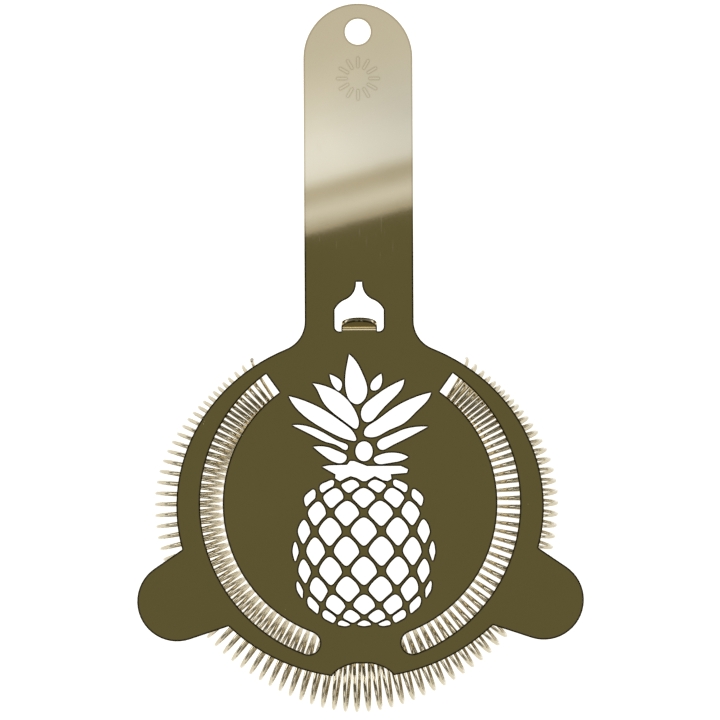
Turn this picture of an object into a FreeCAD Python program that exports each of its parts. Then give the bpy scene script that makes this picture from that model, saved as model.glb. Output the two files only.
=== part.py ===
"""Hawthorne strainer: a stamped sheet-metal plate over a long coil spring bent into a hoop.

Every sketch is drawn from the centre of the round head: +X to the right, +Y along the handle,
and Z = 0 on the underside of the sheet. Each sub-part's Placement then carries it into the
part's own frame, whose origin is the bottom centre of the whole strainer's bounding box.
"""
import FreeCAD, Part
import math
import os

import Sketcher
from FreeCAD import Vector

# Driving dimensions in millimetres and degrees. Angles "from top" are measured at the centre of
# the head, away from the handle's direction.
DIMENSIONS = {
    "sheet_thick": 1.0,
    # round head, an ellipse a little wider than it is long
    "head_half_width": 43.2,
    "head_half_length": 40.4,
    "head_centre_y": -0.65,
    # handle
    "handle_half_width": 12.8,
    "handle_root_y": 36.4,
    "handle_top_y": 117.5,
    "neck_fillet": 7.0,
    "hang_hole_radius": 3.05,
    "hang_hole_y": 110.9,
    # ears that rest on the tin's rim
    "ear_radius": 9.4,
    "ear_centre_x": 43.1,
    "ear_centre_y": -22.8,
    "ear_root_top_x": 41.9,
    "ear_root_top_y": -10.6,
    "ear_root_low_x": 31.0,
    "ear_root_low_y": -28.7,
    # arc slots over the spring
    "slot_inner_radius": 32.3,
    "slot_outer_radius": 37.6,
    "slot_square_end": 35.7,
    "slot_round_end": 159.5,
    # pouring notch at the front of the rim
    "notch_x": 0.5,
    "notch_top_y": -37.6,
    "notch_half_top": 2.0,
    "notch_half_foot": 7.2,
    "notch_foot_y": -40.4,
    # window in the neck
    "window_low_y": 40.5,
    "window_half_width": 5.75,
    "window_shoulder_y": 45.6,
    "window_waist_x": 2.95,
    "window_waist_y": 48.05,
    "window_tip_half": 0.7,
    "window_tip_y": 52.1,
    "window_corner": 1.1,
    "window_shoulder_x": 4.7,
    "window_shoulder_top_y": 47.0,
    "window_ogee_x": 1.3,
    "window_ogee_y": 49.6,
    # finger tab that stands up out of the window
    "tab_half_width": 4.2,
    "tab_straight": 4.4,
    "tab_lean": 70.0,
    "tab_bend_radius": 0.8,
    "tab_corner": 3.9,
    # lugs under the rim by the square ends of the slots, whose feet hold the spring's ends
    "lug_radius": 39.1,
    "lug_width": 2.2,
    "lug_foot_length": 5.6,
    "lug_foot_drop": 8.0,
    "lug_bend_radius": 1.0,
    # mark pressed into the handle: a ring of short rays
    "mark_y": 99.9,
    "mark_rays": 12,
    "mark_inner": 2.6,
    "mark_outer": 5.0,
    "mark_groove": 0.45,
    "mark_depth": 0.15,
    # pineapple cut-out: its fruit is a lattice of cells on a barrel
    "fruit_x": 0.85,
    "fruit_y": -11.2,
    "fruit_rise": 17.6,
    "fruit_row_step": 15.5,
    "fruit_column_step": 14.0,
    "barrel_y": -11.9,
    "barrel_half_width": 17.2,
    "barrel_half_top": 18.6,
    "barrel_half_low": 19.0,
    "barrel_power_top": 3.5,
    "barrel_power_low": 2.4,
    "cell_fill": 0.72,
    "cell_fade_side": 0.5,
    "cell_fade_end": 0.15,
    # coil spring
    "wire_diameter": 0.85,
    "wire_sides": 8,
    "coil_diameter": 16.5,
    "spring_gap": 0.35,
    "hoop_x": -0.85,
    "hoop_end_radius": 34.65,
    "hoop_side_radius": 39.75,
    "hoop_swell_from": 40.0,
    "hoop_swell_to": 90.0,
    "hoop_front_bulge": 2.0,
    "hoop_front_width": 20.0,
    "spring_start": 40.4,
    "pitch_end": 1.95,
    "pitch_front": 3.2,
    "pitch_grows_from": 48.0,
    "pitch_grows_to": 85.0,
    "end_lean": 4.5,
    "end_lean_span": 9.0,
}

# Leaves of the crown, in millimetres from the head's centre: the tip, then points round the leaf and
# back to the tip. A smooth curve through them is sharp only at the tip.
LEAVES = {
    "middle": [(-2.4, 35.1), (-0.6, 33.1), (0.8, 30.3), (1.8, 26.8), (0.9, 24.2), (-0.5, 23.4), (-2.0, 24.0),
               (-3.1, 26.2), (-3.1, 31.5)],
    "left_bud": [(-7.0, 30.4), (-5.1, 29.5), (-4.2, 28.5), (-4.3, 27.2), (-4.7, 26.6), (-5.8, 27.3),
                 (-6.6, 28.7)],
    "right_bud": [(5.1, 30.5), (3.4, 29.2), (2.6, 27.6), (2.8, 26.8), (3.7, 26.6), (5.0, 27.7), (5.3, 29.2)],
    "left_upper": [(-11.0, 28.3), (-6.9, 27.2), (-3.7, 25.2), (-1.6, 22.7), (-0.4, 20.1), (-0.3, 18.4),
                   (-0.7, 17.7), (-2.3, 18.4), (-5.1, 20.5), (-7.5, 22.6), (-8.8, 24.4), (-9.8, 26.6)],
    "right_upper": [(10.5, 29.1), (10.1, 27.5), (7.2, 24.1), (4.2, 20.9), (2.2, 19.2), (1.2, 19.3), (0.5, 20.2),
                    (0.4, 21.7), (1.0, 23.0), (2.8, 24.6), (5.4, 26.5), (8.4, 28.2)],
    "left_middle": [(-16.6, 25.3), (-12.2, 23.9), (-7.7, 21.6), (-3.6, 18.7), (-1.1, 16.0), (-0.9, 14.9),
                    (-2.2, 14.9), (-5.1, 15.9), (-8.4, 17.6), (-12.4, 20.2), (-15.1, 22.8)],
    "right_middle": [(16.8, 26.0), (16.3, 24.8), (13.4, 21.7), (10.1, 18.7), (6.9, 17.3), (4.0, 15.8),
                     (2.5, 15.6), (1.1, 16.2), (1.1, 17.0), (3.5, 19.2), (7.2, 21.9), (11.3, 24.2)],
    "left_lower": [(-15.8, 18.5), (-12.6, 18.3), (-10.0, 17.4), (-7.2, 15.9), (-4.6, 14.5), (-2.8, 13.3),
                   (-3.0, 12.8), (-5.1, 13.6), (-7.8, 14.5), (-10.7, 15.9), (-13.6, 17.4)],
    "right_lower": [(16.0, 18.0), (12.8, 17.9), (10.1, 17.3), (6.9, 15.9), (4.5, 14.7), (4.1, 14.0),
                    (4.9, 12.7), (6.9, 13.3), (10.1, 14.9), (13.4, 16.6)],
    "left_base": [(-10.9, 13.4), (-9.2, 13.5), (-7.2, 13.2), (-5.1, 12.3), (-3.1, 10.9), (-3.6, 9.9),
                  (-6.2, 9.9), (-8.4, 11.3), (-9.8, 12.4)],
    "right_base": [(11.4, 10.9), (9.5, 11.7), (6.9, 11.9), (4.6, 11.4), (3.3, 10.4), (3.7, 9.7), (6.6, 9.5),
                   (9.5, 10.0)],
}
HEART = {"centre": (1.0, 12.3), "half_width": 2.0, "half_height": 2.3}
COLLAR = [(-8.8, 8.7), (-7.2, 9.0), (-3.0, 9.1), (-2.3, 10.0), (-1.4, 10.0), (1.7, 8.8), (9.6, 8.8),
          (11.3, 8.0), (11.0, 7.2), (7.2, 6.9), (7.4, 5.8), (6.5, 5.3), (5.4, 5.5), (3.5, 6.5), (1.4, 5.3),
          (0.6, 5.3), (-0.8, 6.1), (-2.2, 6.5), (-3.4, 6.0), (-4.7, 5.3), (-5.8, 6.0), (-5.7, 6.9)]

# Rows of the fruit from the top: row number up from the widest row, and the column numbers, in half
# steps from the middle.
FRUIT_ROWS = [
    (4, (-3, -1, 1, 3)),
    (3, (-4, -2, 0, 2, 4)),
    (2, (-3, -1, 1, 3)),
    (1, (-4, -2, 0, 2, 4)),
    (0, (-5, -3, -1, 1, 3, 5)),
    (-1, (-4, -2, 0, 2, 4)),
    (-2, (-5, -3, -1, 1, 3, 5)),
    (-3, (-4, -2, 0, 2, 4)),
    (-4, (-3, -1, 1, 3)),
    (-5, (-2, 0, 2)),
]
CELL_POINTS = 12
CELL_TOP_POWER = 1.5
CELL_LOW_POWER = 1.25
FADE_POWER = 6

# One flank of the notch: shares of its run along the rim and of its depth, from its foot.
NOTCH_FLANK = [(0, 0), (0.25, 0.45), (0.6, 0.78), (1, 1)]

PROBE = 1e-3


def make_sheet(doc):
    """Write the driving dimensions into a spreadsheet, one named cell each."""
    sheet = doc.addObject("Spreadsheet::Sheet", "sizes")
    for row, (name, value) in enumerate(DIMENSIONS.items(), start=1):
        sheet.set(f"A{row}", name)
        sheet.set(f"B{row}", str(value))
        sheet.setAlias(f"B{row}", name)
    doc.recompute()
    return sheet


class Drawing:
    """A sketch in a body, with dimensions bound to the spreadsheet."""

    ORIGIN = (-1, 1)
    Y_AXIS = -2
    START = 1
    END = 2
    CENTRE = 3

    def __init__(self, body, name, plane="XY_Plane"):
        self.sketch = body.newObject("Sketcher::SketchObject", name)
        support = [part for part in body.Origin.OriginFeatures if part.Role == plane]
        self.sketch.AttachmentSupport = [(support[0], "")]
        self.sketch.MapMode = "FlatFace"

    def add(self, curve):
        return self.sketch.addGeometry(curve)

    def tie(self, kind, *items):
        return self.sketch.addConstraint(Sketcher.Constraint(kind, *items))

    def drive(self, kind, expression, *items):
        """Add a dimension whose value comes from the spreadsheet."""
        value = self.sketch.evalExpression(expression)
        value = float(getattr(value, "Value", value))
        if kind == "Angle":
            value = math.radians(value)
        index = self.tie(kind, *items, value)
        self.sketch.setExpression(f"Constraints[{index}]", expression)

    def place(self, geometry, point, x, y):
        """Fix one point of the geometry at x, y from the sketch's origin."""
        self.drive("DistanceX", x, *self.ORIGIN, geometry, point)
        self.drive("DistanceY", y, *self.ORIGIN, geometry, point)

    def circle(self, x, y, radius):
        """Add a circle with its centre and radius bound."""
        values = [float(self.sketch.evalExpression(text)) for text in (x, y, radius)]
        geometry = self.add(Part.Circle(Vector(values[0], values[1], 0), Vector(0, 0, 1), values[2]))
        self.place(geometry, self.CENTRE, x, y)
        self.drive("Radius", radius, geometry)

    def outline(self, corners):
        """Add straight edges from corner to corner and close them, each corner fixed."""
        points = [Vector(*[float(self.sketch.evalExpression(text)) for text in pair], 0)
                  for pair in corners]
        edges = [self.add(Part.LineSegment(start, end))
                 for start, end in zip(points, points[1:] + points[:1])]
        for edge, following, corner in zip(edges, edges[1:] + edges[:1], corners[1:] + corners[:1]):
            self.tie("Coincident", edge, self.END, following, self.START)
            self.place(edge, self.END, *corner)


def pad(body, drawing, name, length, midplane=False, reverse=False):
    """Pad a sketch by a bound length."""
    feature = body.newObject("PartDesign::Pad", name)
    feature.Profile = drawing.sketch
    feature.Midplane = midplane
    feature.Reversed = reverse
    feature.setExpression("Length", length)
    drawing.sketch.Document.recompute()
    return feature


def pocket_through(body, drawing, name):
    """Cut a sketch right through the sheet, and check that it took material away."""
    volume = body.Shape.Volume
    feature = body.newObject("PartDesign::Pocket", name)
    feature.Profile = drawing.sketch
    feature.Type = "ThroughAll"
    feature.Midplane = True
    drawing.sketch.Document.recompute()
    if body.Shape.Volume >= volume:
        raise RuntimeError(f"{name} cut nothing")
    return feature


def closed_spline(points):
    """A smooth closed curve through the points."""
    curve = Part.BSplineCurve()
    curve.interpolate([Vector(x, y, 0) for x, y in points], PeriodicFlag=True)
    return curve


def arc_through(start, middle, end):
    """An arc through three flat points."""
    return Part.Arc(*[Vector(x, y, 0) for x, y in (start, middle, end)])


def line(start, end):
    """A straight edge between two flat points."""
    return Part.LineSegment(Vector(*start, 0), Vector(*end, 0))


def from_top(radius, angle, side=1):
    """A point at a radius and an angle from the handle's direction, on one side of the head."""
    turn = math.radians(angle)
    return (side * radius * math.sin(turn), radius * math.cos(turn))


# ---------------------------------------------------------------- plate: the pineapple cut-out


def fruit_point(sheet, column, row):
    """Map a place on the fruit's lattice, in rows and half columns, to the sheet."""
    latitude = math.radians(sheet.fruit_row_step * row)
    longitude = math.radians(sheet.fruit_column_step * column)
    y = sheet.fruit_y + sheet.fruit_rise * math.sin(latitude)
    if y > sheet.barrel_y:
        half_height, power = sheet.barrel_half_top, sheet.barrel_power_top
    else:
        half_height, power = sheet.barrel_half_low, sheet.barrel_power_low
    height = abs(y - sheet.barrel_y) / half_height
    radius = sheet.barrel_half_width * (1 - height ** power) ** (1 / power)
    return (sheet.fruit_x + radius * math.sin(longitude), y)


def fruit_cell(sheet, column, row):
    """One cell: a rounded diamond on the lattice, blunter above than below, smaller near the rim."""
    side = abs(math.sin(math.radians(sheet.fruit_column_step * column))) ** FADE_POWER
    end = abs(math.sin(math.radians(sheet.fruit_row_step * row))) ** FADE_POWER
    fill = sheet.cell_fill * (1 - sheet.cell_fade_side * side) * (1 - sheet.cell_fade_end * end)
    points = []
    for step in range(CELL_POINTS):
        turn = math.tau * step / CELL_POINTS
        across, up = math.cos(turn), math.sin(turn)
        power = CELL_TOP_POWER if up >= 0 else CELL_LOW_POWER
        reach = fill / (abs(across) ** power + abs(up) ** power) ** (1 / power)
        points.append(fruit_point(sheet, column + reach * across, row + reach * up))
    return closed_spline(points)


def draw_pineapple(drawing, sheet):
    """Add the fruit's cells, the crown's leaves and the collar between them."""
    for row, columns in FRUIT_ROWS:
        for column in columns:
            drawing.add(fruit_cell(sheet, column, row))
    for points in LEAVES.values():
        leaf = Part.BSplineCurve()
        leaf.interpolate([Vector(x, y, 0) for x, y in points + points[:1]])
        drawing.add(leaf)
    x, y = HEART["centre"]
    heart = Part.Ellipse(Vector(x, y + HEART["half_height"], 0), Vector(x + HEART["half_width"], y, 0),
                         Vector(x, y, 0))
    drawing.add(heart)
    for start, end in zip(COLLAR, COLLAR[1:] + COLLAR[:1]):
        drawing.add(line(start, end))


# ---------------------------------------------------------------- plate: the sheet's outline


def add_head(body, sheet):
    """The round head, an ellipse, padded with the pineapple already open in it."""
    drawing = Drawing(body, "head_outline")
    rim = drawing.add(Part.Ellipse(Vector(0, sheet.head_centre_y, 0),
                                   sheet.head_half_width, sheet.head_half_length))
    drawing.sketch.exposeInternalGeometry(rim)
    width_line, length_line = rim + 1, rim + 2
    drawing.tie("Horizontal", width_line)
    drawing.drive("Distance", "2 * sizes.head_half_width", width_line)
    drawing.drive("Distance", "2 * sizes.head_half_length", length_line)
    drawing.tie("PointOnObject", rim, Drawing.CENTRE, Drawing.Y_AXIS)
    drawing.drive("DistanceY", "sizes.head_centre_y", *Drawing.ORIGIN, rim, Drawing.CENTRE)
    draw_pineapple(drawing, sheet)
    return pad(body, drawing, "head", "sizes.sheet_thick")


def add_handle(body, sheet):
    """The handle: a straight strip with a round end."""
    drawing = Drawing(body, "handle_outline")
    half = sheet.handle_half_width
    low = sheet.handle_root_y
    high = sheet.handle_top_y - half
    base = drawing.add(line((-half, low), (half, low)))
    right = drawing.add(line((half, low), (half, high)))
    end = drawing.add(Part.ArcOfCircle(Part.Circle(Vector(0, high, 0), Vector(0, 0, 1), half), 0, math.pi))
    left = drawing.add(line((-half, high), (-half, low)))
    drawing.tie("Coincident", base, Drawing.END, right, Drawing.START)
    drawing.tie("Tangent", right, Drawing.END, end, Drawing.START)
    drawing.tie("Tangent", end, Drawing.END, left, Drawing.START)
    drawing.tie("Coincident", left, Drawing.END, base, Drawing.START)
    drawing.tie("Horizontal", base)
    drawing.tie("Vertical", right)
    drawing.tie("PointOnObject", end, Drawing.CENTRE, Drawing.Y_AXIS)
    drawing.drive("Radius", "sizes.handle_half_width", end)
    drawing.drive("DistanceY", "sizes.handle_top_y - sizes.handle_half_width",
                  *Drawing.ORIGIN, end, Drawing.CENTRE)
    drawing.drive("DistanceY", "sizes.handle_root_y", *Drawing.ORIGIN, base, Drawing.START)
    return pad(body, drawing, "handle", "sizes.sheet_thick")


def add_neck_fillets(body, sheet, base):
    """Round the two inside corners where the handle runs into the head."""
    corners = []
    for number, edge in enumerate(base.Shape.Edges, start=1):
        middle = edge.CenterOfMass
        upright = abs(edge.BoundBox.ZLength - sheet.sheet_thick) < PROBE
        at_side = abs(abs(middle.x) - sheet.handle_half_width) < PROBE
        if upright and at_side and middle.y < sheet.head_half_length:
            corners.append(f"Edge{number}")
    feature = body.newObject("PartDesign::Fillet", "neck_fillets")
    feature.Base = (base, corners)
    feature.setExpression("Radius", "sizes.neck_fillet")
    body.Document.recompute()
    return feature


def tangent_turn(root, centre, radius, side):
    """Angle on a circle where the line from a point outside meets it, on one side."""
    away = math.hypot(root[0] - centre[0], root[1] - centre[1])
    back = math.atan2(root[1] - centre[1], root[0] - centre[0])
    return back + side * math.acos(radius / away)


def add_ear(body, sheet):
    """The right ear: a round lobe with straight flanks down to the rim."""
    centre = (sheet.ear_centre_x, sheet.ear_centre_y)
    radius = sheet.ear_radius
    top_root = (sheet.ear_root_top_x, sheet.ear_root_top_y)
    low_root = (sheet.ear_root_low_x, sheet.ear_root_low_y)
    top_turn = tangent_turn(top_root, centre, radius, -1)
    low_turn = tangent_turn(low_root, centre, radius, 1) - math.tau
    lobe = Part.Circle(Vector(*centre, 0), Vector(0, 0, 1), radius)
    arc = Part.ArcOfCircle(lobe, low_turn, top_turn)
    drawing = Drawing(body, "ear_outline")
    round_edge = drawing.add(arc)
    top_flank = drawing.add(Part.LineSegment(Vector(*top_root, 0), arc.EndPoint))
    low_flank = drawing.add(Part.LineSegment(arc.StartPoint, Vector(*low_root, 0)))
    inside = drawing.add(line(low_root, top_root))
    drawing.tie("Tangent", top_flank, Drawing.END, round_edge, Drawing.END)
    drawing.tie("Tangent", low_flank, Drawing.START, round_edge, Drawing.START)
    drawing.tie("Coincident", low_flank, Drawing.END, inside, Drawing.START)
    drawing.tie("Coincident", inside, Drawing.END, top_flank, Drawing.START)
    drawing.place(round_edge, Drawing.CENTRE, "sizes.ear_centre_x", "sizes.ear_centre_y")
    drawing.drive("Radius", "sizes.ear_radius", round_edge)
    drawing.place(top_flank, Drawing.START, "sizes.ear_root_top_x", "sizes.ear_root_top_y")
    drawing.place(low_flank, Drawing.END, "sizes.ear_root_low_x", "sizes.ear_root_low_y")
    return pad(body, drawing, "ear", "sizes.sheet_thick")


def add_slot(body, sheet):
    """The right arc slot: square at its handle end, round at the other."""
    inner, outer = sheet.slot_inner_radius, sheet.slot_outer_radius
    middle, half = (inner + outer) / 2, (outer - inner) / 2
    square = math.radians(90 - sheet.slot_square_end)
    rounded = math.radians(90 - sheet.slot_round_end)
    origin, up = Vector(0, 0, 0), Vector(0, 0, 1)
    cap_centre = Vector(*from_top(middle, sheet.slot_round_end), 0)
    drawing = Drawing(body, "slot_outline")
    outside = drawing.add(Part.ArcOfCircle(Part.Circle(origin, up, outer), rounded, square))
    inside = drawing.add(Part.ArcOfCircle(Part.Circle(origin, up, inner), rounded, square))
    cap = drawing.add(Part.ArcOfCircle(Part.Circle(cap_centre, up, half),
                                       rounded + math.pi, rounded + math.tau))
    end = drawing.add(line(from_top(inner, sheet.slot_square_end), from_top(outer, sheet.slot_square_end)))
    drawing.tie("Coincident", outside, Drawing.CENTRE, *Drawing.ORIGIN)
    drawing.tie("Coincident", inside, Drawing.CENTRE, *Drawing.ORIGIN)
    drawing.tie("Tangent", outside, Drawing.START, cap, Drawing.END)
    drawing.tie("Tangent", inside, Drawing.START, cap, Drawing.START)
    drawing.tie("Coincident", end, Drawing.START, inside, Drawing.END)
    drawing.tie("Coincident", end, Drawing.END, outside, Drawing.END)
    drawing.drive("Radius", "sizes.slot_outer_radius", outside)
    drawing.drive("Radius", "sizes.slot_inner_radius", inside)
    drawing.drive("Angle", "90 - sizes.slot_square_end", end)
    drawing.tie("PointOnObject", *Drawing.ORIGIN, end)
    drawing.drive("DistanceY", "(sizes.slot_inner_radius + sizes.slot_outer_radius) / 2"
                  " * cos(sizes.slot_round_end)", *Drawing.ORIGIN, cap, Drawing.CENTRE)
    return pocket_through(body, drawing, "slot")


def add_notch(body, sheet):
    """The shallow pouring notch at the front of the rim, with soft shoulders."""
    x, top, foot = sheet.notch_x, sheet.notch_top_y, sheet.notch_foot_y
    half_top, half_foot = sheet.notch_half_top, sheet.notch_half_foot
    outside = foot - (top - foot)
    rise = top - foot
    drawing = Drawing(body, "notch_outline")
    for side in (-1, 1):
        run = half_foot - half_top
        flank = Part.BSplineCurve()
        flank.interpolate([Vector(x + side * (half_foot - run * along), foot + rise * up, 0)
                           for along, up in NOTCH_FLANK])
        drawing.add(flank)
        drawing.add(line((x + side * half_foot, foot), (x + side * half_foot, outside)))
    drawing.add(line((x - half_top, top), (x + half_top, top)))
    drawing.add(line((x - half_foot, outside), (x + half_foot, outside)))
    return pocket_through(body, drawing, "notch")


def add_hanging_hole(body):
    """The round hole that the strainer hangs by."""
    drawing = Drawing(body, "hanging_hole_outline")
    drawing.circle("0", "sizes.hang_hole_y", "sizes.hang_hole_radius")
    return pocket_through(body, drawing, "hanging_hole")


def add_window(body, sheet):
    """The ogee window in the neck, which the finger tab is cut and bent out of."""
    half, corner = sheet.window_half_width, sheet.window_corner
    low = sheet.window_low_y
    drawing = Drawing(body, "window_outline")
    bend = corner * (1 - math.sqrt(0.5))
    drawing.add(line((corner - half, low), (half - corner, low)))
    drawing.add(line((-sheet.window_tip_half, sheet.window_tip_y), (sheet.window_tip_half, sheet.window_tip_y)))
    for side in (-1, 1):
        drawing.add(arc_through((side * (half - corner), low), (side * (half - bend), low + bend),
                                (side * half, low + corner)))
        drawing.add(line((side * half, low + corner), (side * half, sheet.window_shoulder_y)))
        waist = (side * sheet.window_waist_x, sheet.window_waist_y)
        drawing.add(arc_through((side * half, sheet.window_shoulder_y),
                                (side * sheet.window_shoulder_x, sheet.window_shoulder_top_y), waist))
        drawing.add(arc_through(waist, (side * sheet.window_ogee_x, sheet.window_ogee_y),
                                (side * sheet.window_tip_half, sheet.window_tip_y)))
    return pocket_through(body, drawing, "window")


# ---------------------------------------------------------------- plate: bent tab and lugs


def bent_strip(drawing, start, bend_centre, inner, outer, turn, straight):
    """Outline of a strip of sheet that leaves `start`, bends about a centre and runs straight on.

    The strip lies along the drawing's first axis before the bend; a positive turn bends it up.
    """
    side = 1 if turn > 0 else -1
    lean = math.radians(turn)
    along = Vector(math.cos(lean), math.sin(lean), 0)
    across = Vector(math.sin(lean), -math.cos(lean), 0) * side
    half = Vector(math.sin(lean / 2), -math.cos(lean / 2), 0) * side
    down = Vector(0, -side, 0)
    edges = {}
    for name, radius in (("inner", inner), ("outer", outer)):
        first = bend_centre + down * radius
        last = bend_centre + across * radius
        edges[name] = (Vector(start, first.y, 0), first, bend_centre + half * radius, last,
                       last + along * straight)
    for begin, first, middle, last, tip in edges.values():
        drawing.add(Part.LineSegment(begin, first))
        drawing.add(Part.Arc(first, middle, last))
        drawing.add(Part.LineSegment(last, tip))
    drawing.add(Part.LineSegment(edges["inner"][0], edges["outer"][0]))
    drawing.add(Part.LineSegment(edges["inner"][-1], edges["outer"][-1]))


def add_finger_tab(body, sheet):
    """The short tab bent up out of the window, which a finger pushes against."""
    drawing = Drawing(body, "finger_tab_profile", "YZ_Plane")
    inner = sheet.tab_bend_radius
    outer = inner + sheet.sheet_thick
    centre = Vector(sheet.window_low_y, outer, 0)
    bent_strip(drawing, sheet.window_low_y - sheet.sheet_thick, centre, inner, outer,
               sheet.tab_lean, sheet.tab_straight)
    strip = pad(body, drawing, "finger_tab", "2 * sizes.tab_half_width", midplane=True)
    tip_height = outer + sheet.tab_straight * math.sin(math.radians(sheet.tab_lean)) / 2
    corners = [f"Edge{number}" for number, edge in enumerate(strip.Shape.Edges, start=1)
               if edge.CenterOfMass.z > tip_height
               and abs(edge.Length - sheet.sheet_thick) < PROBE
               and abs(abs(edge.CenterOfMass.x) - sheet.tab_half_width) < PROBE]
    feature = body.newObject("PartDesign::Fillet", "finger_tab_round")
    feature.Base = (strip, corners)
    feature.setExpression("Radius", "sizes.tab_corner")
    body.Document.recompute()
    return feature


def add_lug(body, sheet):
    """The right lug: it hangs under the rim by the slot's square end and its foot points into the coil."""
    drawing = Drawing(body, "lug_profile", "YZ_Plane")
    sketch = drawing.sketch
    turned = FreeCAD.Rotation(Vector(0, 1, 0), -90 - sheet.slot_square_end)
    sketch.AttachmentOffset = FreeCAD.Placement(Vector(0, 0, 0), turned)
    sketch.setExpression("AttachmentOffset.Base.x", "sizes.lug_radius * cos(sizes.slot_square_end)")
    sketch.setExpression("AttachmentOffset.Base.z", "sizes.lug_radius * sin(sizes.slot_square_end)")
    thick = sheet.sheet_thick
    inner = sheet.lug_bend_radius
    outer = inner + thick
    drop = sheet.lug_foot_drop
    root = thick / 2
    bend = inner - drop
    reach = inner - inner * math.sqrt(0.5)
    outer_reach = inner - outer * math.sqrt(0.5)
    drawing.add(line((0, root), (0, bend)))
    drawing.add(arc_through((0, bend), (reach, reach - drop), (inner, -drop)))
    drawing.add(line((inner, -drop), (sheet.lug_foot_length, -drop)))
    drawing.add(line((sheet.lug_foot_length, -drop), (sheet.lug_foot_length, -drop - thick)))
    drawing.add(line((sheet.lug_foot_length, -drop - thick), (inner, -drop - thick)))
    drawing.add(arc_through((inner, -drop - thick), (outer_reach, outer_reach - drop), (-thick, bend)))
    drawing.add(line((-thick, bend), (-thick, root)))
    drawing.add(line((-thick, root), (0, root)))
    return pad(body, drawing, "lug", "sizes.lug_width", midplane=True)


def mirror(body, features, name):
    """Repeat features on the left side of the strainer."""
    side = [part for part in body.Origin.OriginFeatures if part.Role == "YZ_Plane"]
    feature = body.newObject("PartDesign::Mirrored", name)
    feature.Originals = features
    feature.MirrorPlane = (side[0], [""])
    body.Tip = feature
    body.Document.recompute()
    return feature


def add_mark(body, sheet):
    """A plain ring of short rays pressed into the handle."""
    drawing = Drawing(body, "mark_ray")
    drawing.sketch.setExpression("AttachmentOffset.Base.y", "sizes.mark_y")
    drawing.sketch.setExpression("AttachmentOffset.Base.z", "sizes.sheet_thick")
    drawing.outline([
        ("-sizes.mark_groove / 2", "sizes.mark_inner"),
        ("sizes.mark_groove / 2", "sizes.mark_inner"),
        ("sizes.mark_groove / 2", "sizes.mark_outer"),
        ("-sizes.mark_groove / 2", "sizes.mark_outer"),
    ])
    ray = body.newObject("PartDesign::Pocket", "mark_groove")
    ray.Profile = drawing.sketch
    ray.setExpression("Length", "sizes.mark_depth")
    body.Document.recompute()
    ring = body.newObject("PartDesign::PolarPattern", "mark")
    ring.Originals = [ray]
    ring.Axis = (drawing.sketch, ["N_Axis"])
    ring.Angle = 360
    ring.setExpression("Occurrences", "sizes.mark_rays")
    body.Tip = ring
    body.Document.recompute()
    return ring


def make_plate(doc, sheet):
    """The stamped plate: head, handle and ears in one sheet, with its tab and lugs bent from it."""
    body = doc.addObject("PartDesign::Body", "plate_body")
    body.Label = "plate"
    add_head(body, sheet)
    strip = add_handle(body, sheet)
    add_neck_fillets(body, sheet, strip)
    ear = add_ear(body, sheet)
    slot = add_slot(body, sheet)
    mirror(body, [ear, slot], "left_ear_and_slot")
    add_notch(body, sheet)
    add_hanging_hole(body)
    add_window(body, sheet)
    add_finger_tab(body, sheet)
    lug = add_lug(body, sheet)
    mirror(body, [lug], "left_lug")
    add_mark(body, sheet)
    return body


# ---------------------------------------------------------------- spring


def smooth_step(value, low, high):
    """Rise smoothly from 0 at low to 1 at high."""
    share = min(max((value - low) / (high - low), 0.0), 1.0)
    return share * share * (3 - 2 * share)


def hoop_radius(sheet, angle):
    """Radius of the spring's centre line at an angle from the handle's direction."""
    swell = smooth_step(angle, sheet.hoop_swell_from, sheet.hoop_swell_to)
    bulge = math.exp(-((180 - angle) / sheet.hoop_front_width) ** 2)
    side = sheet.hoop_side_radius - sheet.hoop_end_radius
    return sheet.hoop_end_radius + side * swell + sheet.hoop_front_bulge * bulge


def coil_angles(sheet):
    """Angle of every half turn on one side, from the front of the hoop to the slot's square end."""
    angles = []
    angle = 180.0
    grow = sheet.pitch_front - sheet.pitch_end
    while angle > sheet.spring_start:
        angles.append(angle)
        pitch = sheet.pitch_end + grow * smooth_step(angle, sheet.pitch_grows_from, sheet.pitch_grows_to)
        angle -= pitch / 2
    return angles


def coil_tip(sheet, number, angle, side):
    """The outermost or innermost point of the wire's centre line at one half turn."""
    coil = (sheet.coil_diameter - sheet.wire_diameter) / 2
    radius = hoop_radius(sheet, angle)
    shift = sheet.hoop_x * smooth_step(angle, sheet.hoop_swell_from, sheet.hoop_swell_to)
    if number % 2:
        x, y = from_top(radius - coil, angle, side)
    else:
        into_end = max(0.0, 1 - (angle - sheet.spring_start) / sheet.end_lean_span)
        x, y = from_top(radius + coil, angle - sheet.end_lean * into_end ** 2, side)
    return Vector(x + shift, y, 0)


def wire_section(sheet, tips):
    """The wire's cross-section at its left end: a regular polygon with the round wire's area."""
    sides = int(sheet.wire_sides)
    corner = sheet.wire_diameter / 2 / math.sqrt(sides * math.sin(math.tau / sides) / math.tau)
    inward = math.atan2(tips[1].y - tips[0].y, tips[1].x - tips[0].x)
    turns = [inward + math.tau * (side + 0.5) / sides for side in range(sides)]
    points = [tips[0] + Vector(math.cos(turn), math.sin(turn), 0) * corner for turn in turns]
    return Part.makePolygon(points + points[:1])


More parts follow.
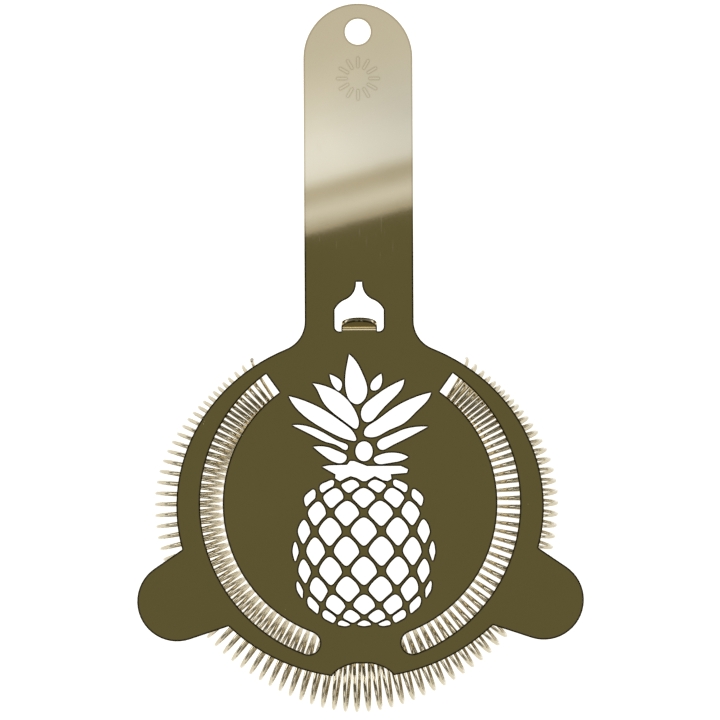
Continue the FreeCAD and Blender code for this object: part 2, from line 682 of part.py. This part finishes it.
def make_spring(doc, sheet):
    """The coil spring: a wire of half-circle turns, over and under, round the hoop."""
    tips = []
    angles = list(enumerate(coil_angles(sheet)))
    for number, angle in reversed(angles[1:]):
        tips.append(coil_tip(sheet, number, angle, -1))
    for number, angle in angles:
        tips.append(coil_tip(sheet, number, angle, 1))
    first_is_inner = angles[-1][0] % 2
    arcs = []
    for index, (start, end) in enumerate(zip(tips, tips[1:])):
        over = index % 2 == (0 if first_is_inner else 1)
        rise = (end - start).Length / 2 * (1 if over else -1)
        arcs.append(Part.Arc(start, (start + end) / 2 + Vector(0, 0, rise), end).toShape())
    path = Part.Wire(arcs)
    solid = path.makePipeShell([wire_section(sheet, tips)], True, True)
    expected = path.Length * math.pi * (sheet.wire_diameter / 2) ** 2
    print(f"spring: {len(arcs)} half turns, volume {solid.Volume:.1f} of {expected:.1f} mm3")
    spring = doc.addObject("Part::Feature", "spring_wire")
    spring.Label = "spring"
    spring.Shape = solid
    return spring


# ---------------------------------------------------------------- assembly


def place(sub_part, height, doc):
    """Carry a sub-part from the head's centre into the strainer's own frame."""
    spring_reach = "(sizes.hoop_side_radius + sizes.hoop_front_bulge + sizes.coil_diameter / 2)"
    sub_part.setExpression("Placement.Base.y", f"({spring_reach} - sizes.handle_top_y) / 2")
    sub_part.setExpression("Placement.Base.z", height)
    doc.recompute()


def check(doc, sub_parts):
    """Stop if anything failed to compute or is not one valid solid."""
    for item in doc.Objects:
        if "Invalid" in item.State or "Error" in item.State:
            raise RuntimeError(f"{item.Name} is {item.State}")
    for sub_part in sub_parts:
        shape = sub_part.Shape
        if shape.isNull() or not shape.isValid() or len(shape.Solids) != 1:
            raise RuntimeError(f"{sub_part.Label} is not one valid solid")
        box = shape.BoundBox
        print(f"{sub_part.Label}: {shape.Volume:.1f} mm3, x {box.XMin:.2f} to {box.XMax:.2f},"
              f" y {box.YMin:.2f} to {box.YMax:.2f}, z {box.ZMin:.2f} to {box.ZMax:.2f}")


def main():
    doc = FreeCAD.newDocument("hawthorne_strainer")
    sheet = make_sheet(doc)
    plate = make_plate(doc, sheet)
    spring = make_spring(doc, sheet)
    place(plate, "sizes.coil_diameter + sizes.spring_gap", doc)
    place(spring, "sizes.coil_diameter / 2", doc)
    sub_parts = [plate, spring]
    check(doc, sub_parts)
    os.makedirs("parts", exist_ok=True)
    for sub_part in sub_parts:
        sub_part.Shape.exportStep(f"parts/{sub_part.Label}.step")


main()
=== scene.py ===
import math

import bpy
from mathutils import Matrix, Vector


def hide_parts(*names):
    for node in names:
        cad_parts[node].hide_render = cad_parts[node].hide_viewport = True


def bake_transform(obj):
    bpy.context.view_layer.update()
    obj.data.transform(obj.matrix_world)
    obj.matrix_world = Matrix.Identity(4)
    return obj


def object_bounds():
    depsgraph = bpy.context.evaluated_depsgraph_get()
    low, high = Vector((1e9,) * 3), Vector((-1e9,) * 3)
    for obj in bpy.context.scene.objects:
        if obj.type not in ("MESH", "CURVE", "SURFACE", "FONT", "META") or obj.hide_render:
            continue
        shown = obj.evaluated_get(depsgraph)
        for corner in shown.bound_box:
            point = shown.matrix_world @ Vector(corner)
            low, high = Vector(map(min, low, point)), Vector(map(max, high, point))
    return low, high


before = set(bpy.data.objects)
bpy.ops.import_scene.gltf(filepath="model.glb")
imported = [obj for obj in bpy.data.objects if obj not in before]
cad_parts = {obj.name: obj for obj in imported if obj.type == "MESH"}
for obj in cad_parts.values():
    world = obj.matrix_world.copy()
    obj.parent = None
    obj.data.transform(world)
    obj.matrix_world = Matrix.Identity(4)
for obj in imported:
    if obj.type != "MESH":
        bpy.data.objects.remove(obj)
cad_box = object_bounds()

MM = 0.001

# Spring, in millimetres and degrees from the handle's direction, measured at the head's centre.
HEAD_CENTRE_Y = -33.75
SPRING_HEIGHT = 8.25
WIRE_DIAMETER = 0.85
COIL_DIAMETER = 16.5
HOOP_X = -0.85
HOOP_END_RADIUS = 34.65
HOOP_SIDE_RADIUS = 39.75
SWELL_FROM, SWELL_TO = 40.0, 90.0
FRONT_BULGE, FRONT_WIDTH = 2.0, 20.0
SPRING_START = 40.4
PITCH_END, PITCH_FRONT = 1.95, 3.2
PITCH_GROWS_FROM, PITCH_GROWS_TO = 48.0, 85.0
END_LEAN, END_LEAN_SPAN = 4.5, 9.0
HALF_TURN_STEPS = 14
WIRE_SIDES = 10

# Plate's softened edges and the painted dark shade line along them, in metres and degrees.
EDGE_BREAK = 0.00008
EDGE_ANGLE = 50.0
PAINTED_EDGE_SHADE_REACH = 0.0005
WELD_REACH = 1e-6

# Camera and studio, in metres and degrees, with the camera's sensor in millimetres.
PLATE_TOP = 0.01785
CAMERA_RISE = 0.90
VIEW_WIDTH = 0.1692
VIEW_X = 0.00015
CAMERA_ROLL = -0.28
SENSOR = 36.0
FLOOR_REACH = 6.0
FLOOR_GAP = 0.0002
LAMP_TARGET = (0, -0.02, 0.01)

# Card over the handle. Its edge and size are in millimetres, as they show on the handle.
CARD_RISE = 0.16
CARD_TURN = 14.6
CARD_EDGE_Y = 32.6
CARD_SIZE = (100, 60)


# ---------------------------------------------------------------- spring mesh


def smooth_step(value, low, high):
    """Rise smoothly from 0 at low to 1 at high."""
    share = min(max((value - low) / (high - low), 0.0), 1.0)
    return share * share * (3 - 2 * share)


def hoop_radius(angle):
    """Radius of the spring's centre line at an angle from the handle's direction."""
    swell = smooth_step(angle, SWELL_FROM, SWELL_TO)
    bulge = math.exp(-((180 - angle) / FRONT_WIDTH) ** 2)
    return HOOP_END_RADIUS + (HOOP_SIDE_RADIUS - HOOP_END_RADIUS) * swell + FRONT_BULGE * bulge


def coil_angles():
    """Angle of every half turn on one side, from the front of the hoop to the spring's end."""
    angles = []
    angle = 180.0
    while angle > SPRING_START:
        angles.append(angle)
        grown = smooth_step(angle, PITCH_GROWS_FROM, PITCH_GROWS_TO)
        angle -= (PITCH_END + (PITCH_FRONT - PITCH_END) * grown) / 2
    return angles


def coil_tip(number, angle, side):
    """Radius and turn, about the head's centre, of the wire's outermost or innermost point."""
    coil = (COIL_DIAMETER - WIRE_DIAMETER) / 2
    shift = HOOP_X * smooth_step(angle, SWELL_FROM, SWELL_TO)
    if number % 2:
        radius = hoop_radius(angle) - coil
    else:
        radius = hoop_radius(angle) + coil
        into_end = max(0.0, 1 - (angle - SPRING_START) / END_LEAN_SPAN)
        angle -= END_LEAN * into_end ** 2
    x = side * radius * math.sin(math.radians(angle)) + shift
    y = radius * math.cos(math.radians(angle))
    turn = math.atan2(x, -y)
    return math.hypot(x, y), turn


def wire_path():
    """Points along the wire's centre line, from the left end round the front to the right end."""
    numbered = list(enumerate(coil_angles()))
    tips = [coil_tip(number, angle, -1) for number, angle in reversed(numbered[1:])]
    tips += [coil_tip(number, angle, 1) for number, angle in numbered]
    first_is_inner = numbered[-1][0] % 2
    points = []
    for index, (start, end) in enumerate(zip(tips, tips[1:])):
        up = 1 if index % 2 == (0 if first_is_inner else 1) else -1
        rise = abs(end[0] - start[0]) / 2
        for step in range(HALF_TURN_STEPS):
            share = step / HALF_TURN_STEPS
            along = math.pi * share
            radius = start[0] + (end[0] - start[0]) * (1 - math.cos(along)) / 2
            turn = start[1] + (end[1] - start[1]) * share
            points.append(Vector((radius * math.sin(turn), HEAD_CENTRE_Y - radius * math.cos(turn),
                                  SPRING_HEIGHT + up * rise * math.sin(along))))
    radius, turn = tips[-1]
    points.append(Vector((radius * math.sin(turn), HEAD_CENTRE_Y - radius * math.cos(turn), SPRING_HEIGHT)))
    return points


def tube(name, path, radius, sides):
    """A closed round tube along a path, with a ring at each point carried on from the last."""
    mesh_points, faces = [], []
    tangent = (path[1] - path[0]).normalized()
    across = tangent.orthogonal().normalized()
    for index, point in enumerate(path):
        ahead = path[min(index + 1, len(path) - 1)]
        behind = path[max(index - 1, 0)]
        tangent = (ahead - behind).normalized()
        across = (across - tangent * across.dot(tangent)).normalized()
        other = tangent.cross(across)
        for side in range(sides):
            turn = math.tau * side / sides
            mesh_points.append((point + (across * math.cos(turn) + other * math.sin(turn)) * radius) * MM)
    for ring in range(len(path) - 1):
        for side in range(sides):
            a = ring * sides + side
            b = ring * sides + (side + 1) % sides
            faces.append((a, b, b + sides, a + sides))
    faces.append(tuple(reversed(range(sides))))
    last = (len(path) - 1) * sides
    faces.append(tuple(last + side for side in range(sides)))
    mesh = bpy.data.meshes.new(name)
    mesh.from_pydata(mesh_points, [], faces)
    for face in mesh.polygons:
        face.use_smooth = len(face.vertices) == 4
    mesh.update()
    piece = bpy.data.objects.new(name, mesh)
    bpy.context.scene.collection.objects.link(piece)
    return piece


# ---------------------------------------------------------------- materials


class Nodes:
    """A material's node tree, with short calls to add and link nodes."""

    def __init__(self, name):
        self.material = bpy.data.materials.new(name)
        self.material.use_nodes = True
        self.tree = self.material.node_tree
        self.shader = self.tree.nodes["Principled BSDF"]

    def add(self, kind, inputs=None, **settings):
        node = self.tree.nodes.new(kind)
        for key, value in settings.items():
            setattr(node, key, value)
        for key, value in (inputs or {}).items():
            self.put(node.inputs[key], value)
        return node

    def put(self, socket, value):
        if isinstance(value, bpy.types.NodeSocket):
            self.tree.links.new(value, socket)
        else:
            socket.default_value = value

    def noise(self, vector, scale, detail=2.0):
        node = self.add("ShaderNodeTexNoise", {"Vector": vector, "Scale": scale, "Detail": detail})
        return node.outputs["Fac"]

    def spread(self, value, low, high, to_low, to_high):
        node = self.add("ShaderNodeMapRange", {"Value": value, "From Min": low, "From Max": high,
                                               "To Min": to_low, "To Max": to_high})
        return node.outputs["Result"]

    def math(self, operation, first, second):
        node = self.add("ShaderNodeMath", operation=operation)
        self.put(node.inputs[0], first)
        self.put(node.inputs[1], second)
        return node.outputs["Value"]

    def mix(self, factor, first, second):
        node = self.add("ShaderNodeMix", data_type="RGBA")
        self.put(node.inputs[0], factor)
        self.put(node.inputs[6], first)
        self.put(node.inputs[7], second)
        return node.outputs[2]

    def stretched(self, scale, turn):
        """Object coordinates, turned about Z and scaled unevenly."""
        place = self.tree.nodes.get("place") or self.add("ShaderNodeTexCoord", name="place")
        mapping = self.add("ShaderNodeMapping", {"Vector": place.outputs["Object"], "Scale": scale,
                                                 "Rotation": (0, 0, math.radians(turn))})
        return mapping.outputs["Vector"]


def hairlines(nodes, turn, low):
    """A mask of sparse, short hairline scratches in one direction."""
    lines = nodes.noise(nodes.stretched((9000, 130, 130), turn), 1.0, 1.0)
    fine = nodes.spread(lines, low, low + 0.04, 0.0, 1.0)
    patches = nodes.spread(nodes.noise(nodes.stretched((60, 60, 60), turn), 1.0), 0.60, 0.68, 0.0, 1.0)
    return nodes.math("MULTIPLY", fine, patches)


def painted_edge_shade_mask(nodes, reach):
    """A mask for painted edge shade: 1 along the sheet's cut edges, fading out within a short reach of them.
    """
    inside = nodes.add("ShaderNodeAmbientOcclusion", {"Distance": reach}, samples=8, inside=True)
    return nodes.spread(inside.outputs["AO"], 0.80, 0.99, 1.0, 0.0)


def gold_plate():
    """Polished champagne-gold plating: a near mirror, faintly clouded and scratched, with painted shade as a
    dark line along its edges, painted lighter towards the handle's end where the handle mirrors the bright
    card.
    """
    nodes = Nodes("champagne_sheet")
    plain = nodes.stretched((1, 1, 1), 0)
    cloud = nodes.noise(plain, 45, 3)
    grain = nodes.noise(plain, 1800, 2)
    scratch = nodes.math("MAXIMUM", hairlines(nodes, 24, 0.74), hairlines(nodes, -63, 0.75))
    cell = nodes.add("ShaderNodeTexVoronoi", {"Vector": plain, "Scale": 150})
    dot = nodes.spread(cell.outputs["Distance"], 0.035, 0.06, 1.0, 0.0)
    chosen = nodes.math("GREATER_THAN", nodes.add("ShaderNodeSeparateColor", {
        "Color": cell.outputs["Color"]}).outputs["Red"], 0.86)
    speck = nodes.math("MULTIPLY", dot, chosen)
    colour = nodes.mix(cloud, (0.800, 0.700, 0.470, 1), (0.860, 0.755, 0.515, 1))
    # Painted shade: a near-black line along the cut edges, painted lighter towards the handle's end where the
    # handle mirrors the bright card.
    painted_edge_shade = painted_edge_shade_mask(nodes, PAINTED_EDGE_SHADE_REACH)
    along = nodes.add("ShaderNodeSeparateXYZ", {"Vector": plain}).outputs["Y"]
    painted_edge_light_end = nodes.spread(along, 0.024, 0.034, 0.0, 1.0)
    painted_edge_shade_colour = nodes.mix(painted_edge_light_end, (0.06, 0.05, 0.025, 1), (0.62, 0.52, 0.33, 1))
    nodes.put(nodes.shader.inputs["Base Color"], nodes.mix(painted_edge_shade, colour, painted_edge_shade_colour))
    nodes.shader.inputs["Metallic"].default_value = 1.0
    rough = nodes.math("ADD", nodes.spread(cloud, 0.3, 0.7, 0.038, 0.055),
                       nodes.spread(grain, 0.3, 0.7, 0.0, 0.01))
    marks = nodes.math("MAXIMUM", nodes.math("MULTIPLY", scratch, 0.3), speck)
    nodes.put(nodes.shader.inputs["Roughness"], nodes.math("ADD", rough, nodes.math("MULTIPLY", marks, 0.4)))
    height = nodes.math("ADD", nodes.math("MULTIPLY", cloud, 0.6), nodes.math("MULTIPLY", grain, 0.02))
    bump = nodes.add("ShaderNodeBump", {"Strength": 0.25, "Distance": 0.0001,
                                        "Height": nodes.math("SUBTRACT", height, marks)})
    nodes.put(nodes.shader.inputs["Normal"], bump.outputs["Normal"])
    return nodes.material


def gold_wire():
    """Bright champagne-gold plated spring wire, with faint drawing marks and duller patches."""
    nodes = Nodes("champagne_wire")
    plain = nodes.stretched((1, 1, 1), 0)
    cloud = nodes.noise(plain, 220, 3)
    grain = nodes.noise(plain, 5200, 2)
    nodes.put(nodes.shader.inputs["Base Color"],
              nodes.mix(cloud, (0.50, 0.445, 0.32, 1), (0.60, 0.54, 0.40, 1)))
    nodes.shader.inputs["Metallic"].default_value = 1.0
    rough = nodes.spread(cloud, 0.3, 0.7, 0.06, 0.11)
    nodes.put(nodes.shader.inputs["Roughness"], nodes.math("ADD", rough, nodes.math("MULTIPLY", grain, 0.04)))
    bump = nodes.add("ShaderNodeBump", {"Strength": 0.2, "Distance": 0.00005, "Height": grain})
    nodes.put(nodes.shader.inputs["Normal"], bump.outputs["Normal"])
    return nodes.material


# ---------------------------------------------------------------- pieces


def finish_plate():
    """Soften the plate's edges and give it its plating, with painted shade along its edges."""
    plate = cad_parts["plate"]
    weld = plate.modifiers.new("join", "WELD")
    weld.merge_threshold = WELD_REACH
    bevel = plate.modifiers.new("edge_break", "BEVEL")
    bevel.width = EDGE_BREAK
    bevel.segments = 2
    bevel.limit_method = "ANGLE"
    bevel.angle_limit = math.radians(EDGE_ANGLE)
    bevel.use_clamp_overlap = True
    plate.data.materials[0] = gold_plate()


def make_spring():
    """The coil as one drawn wire, held at its ends by the plate."""
    spring = tube("spring_wire", wire_path(), WIRE_DIAMETER / 2, WIRE_SIDES)
    spring.data.materials.append(gold_wire())
    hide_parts("spring")
    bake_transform(spring)


# ---------------------------------------------------------------- studio


def add_floor():
    """The plain pale floor under the strainer."""
    mesh = bpy.data.meshes.new("floor")
    reach = FLOOR_REACH
    mesh.from_pydata([(-reach, -reach, 0), (reach, -reach, 0), (reach, reach, 0), (-reach, reach, 0)],
                     [], [(0, 1, 2, 3)])
    floor = bpy.data.objects.new("floor", mesh)
    floor.location.z = cad_box[0].z - FLOOR_GAP
    bpy.context.scene.collection.objects.link(floor)
    nodes = Nodes("pale_floor")
    nodes.shader.inputs["Base Color"].default_value = (0.60, 0.60, 0.60, 1)
    nodes.shader.inputs["Roughness"].default_value = 0.9
    nodes.shader.inputs["Emission Color"].default_value = (1, 1, 1, 1)
    nodes.shader.inputs["Emission Strength"].default_value = 0.92
    mesh.materials.append(nodes.material)


def card_colour(level):
    """The card's colour at a brightness: warm where it is dim, cool where it is bright."""
    over = level - 0.52
    return (level / 2, level * (0.965 + 0.3 * over) / 2, level * (0.88 + 1.1 * over) / 2)


def add_card(name, start, size, turn, levels, shade):
    """A flat glowing card overhead. Its brightness steps along its own Y, with one dimmer patch."""
    mesh = bpy.data.meshes.new(name)
    half, length = size[0] / 2, size[1]
    mesh.from_pydata([(-half, 0, 0), (half, 0, 0), (half, length, 0), (-half, length, 0)], [], [(0, 3, 2, 1)])
    card = bpy.data.objects.new(name, mesh)
    card.location = start
    card.rotation_euler.z = math.radians(turn)
    bpy.context.scene.collection.objects.link(card)
    nodes = Nodes(name)
    place = nodes.add("ShaderNodeTexCoord").outputs["Object"]
    along = nodes.add("ShaderNodeSeparateXYZ", {"Vector": place}).outputs["Y"]
    ramp = nodes.add("ShaderNodeValToRGB", {"Fac": nodes.math("DIVIDE", along, length)})
    ramp.color_ramp.interpolation = "B_SPLINE"
    elements = ramp.color_ramp.elements
    while len(elements) < len(levels):
        elements.new(1.0)
    for element, (distance, level) in zip(elements, levels):
        element.position = distance / length
        element.color = (*card_colour(level), 1)
    centre, reach, depth = shade
    away = nodes.add("ShaderNodeVectorMath", {0: place, 1: (*centre, 0)}, operation="DISTANCE")
    dimmed = nodes.spread(away.outputs["Value"], 0.0, reach, 2 * (1 - depth), 2.0)
    glow = nodes.add("ShaderNodeEmission", {"Color": ramp.outputs["Color"], "Strength": dimmed})
    nodes.tree.links.new(glow.outputs["Emission"], nodes.tree.nodes["Material Output"].inputs["Surface"])
    mesh.materials.append(nodes.material)
    card.visible_camera = False
    card.visible_shadow = False


def add_area(name, place, size, power):
    """A soft rectangular lamp aimed at the strainer."""
    data = bpy.data.lights.new(name, "AREA")
    data.shape = "RECTANGLE"
    data.size, data.size_y = size
    data.energy = power
    lamp = bpy.data.objects.new(name, data)
    lamp.location = place
    lamp.rotation_euler = (Vector(LAMP_TARGET) - Vector(place)).to_track_quat("-Z", "Y").to_euler()
    lamp.visible_camera = False
    bpy.context.scene.collection.objects.link(lamp)


def add_world():
    """A dim warm ceiling that brightens towards the horizon."""
    world = bpy.data.worlds.new("studio")
    bpy.context.scene.world = world
    world.use_nodes = True
    tree = world.node_tree
    place = tree.nodes.new("ShaderNodeTexCoord")
    split = tree.nodes.new("ShaderNodeSeparateXYZ")
    ramp = tree.nodes.new("ShaderNodeValToRGB")
    tree.links.new(place.outputs["Generated"], split.inputs["Vector"])
    tree.links.new(split.outputs["Z"], ramp.inputs["Fac"])
    tree.links.new(ramp.outputs["Color"], tree.nodes["Background"].inputs["Color"])
    stops = [(0.0, (0.30, 0.30, 0.28)), (0.35, (0.24, 0.23, 0.20)), (0.70, (0.15, 0.14, 0.09)),
             (0.965, (0.128, 0.118, 0.060)), (1.0, (0.128, 0.118, 0.060))]
    elements = ramp.color_ramp.elements
    while len(elements) < len(stops):
        elements.new(1.0)
    for element, (position, colour) in zip(elements, stops):
        element.position = position
        element.color = (*colour, 1)


def add_camera():
    """A camera straight above, with the long axis of the strainer up the picture."""
    data = bpy.data.cameras.new("camera")
    data.sensor_width = SENSOR
    data.lens = SENSOR * CAMERA_RISE / VIEW_WIDTH
    camera = bpy.data.objects.new("camera", data)
    camera.location = (VIEW_X, 0, PLATE_TOP + CAMERA_RISE)
    camera.rotation_euler = (0, 0, math.radians(CAMERA_ROLL))
    bpy.context.scene.collection.objects.link(camera)
    bpy.context.scene.camera = camera


def add_handle_card():
    """The card that the handle mirrors. Its places are given as they show on the handle, in millimetres."""
    mirrored = (1 + CARD_RISE / CAMERA_RISE) * MM
    levels = [(0.0, 0.40), (2.2, 0.59), (4.0, 0.74), (5.2, 0.74), (7.2, 0.56), (9.6, 0.49), (11.0, 0.68),
              (12.6, 0.88), (19.0, 0.93), (26.0, 0.80), (32.0, 0.74), (41.0, 0.63), (60.0, 0.61)]
    levels = [(distance * mirrored, level) for distance, level in levels]
    shade = ((18.0 * mirrored, 22.0 * mirrored), 20.0 * mirrored, 0.22)
    start = (0, CARD_EDGE_Y * mirrored, PLATE_TOP + CARD_RISE)
    size = (CARD_SIZE[0] * mirrored, CARD_SIZE[1] * mirrored)
    add_card("handle_card", start, size, CARD_TURN, levels, shade)


def add_studio():
    """The floor, ceiling, card and three soft lamps."""
    add_world()
    add_floor()
    add_handle_card()
    add_area("left_lamp", (-1.25, -0.15, 0.95), (0.6, 1.2), 7)
    add_area("right_lamp", (1.25, -0.15, 0.95), (0.6, 1.2), 6)
    add_area("front_lamp", (0, -1.3, 0.9), (1.2, 0.5), 2.5)


finish_plate()
make_spring()
add_studio()
add_camera()
bpy.context.scene.view_settings.view_transform = "Standard"
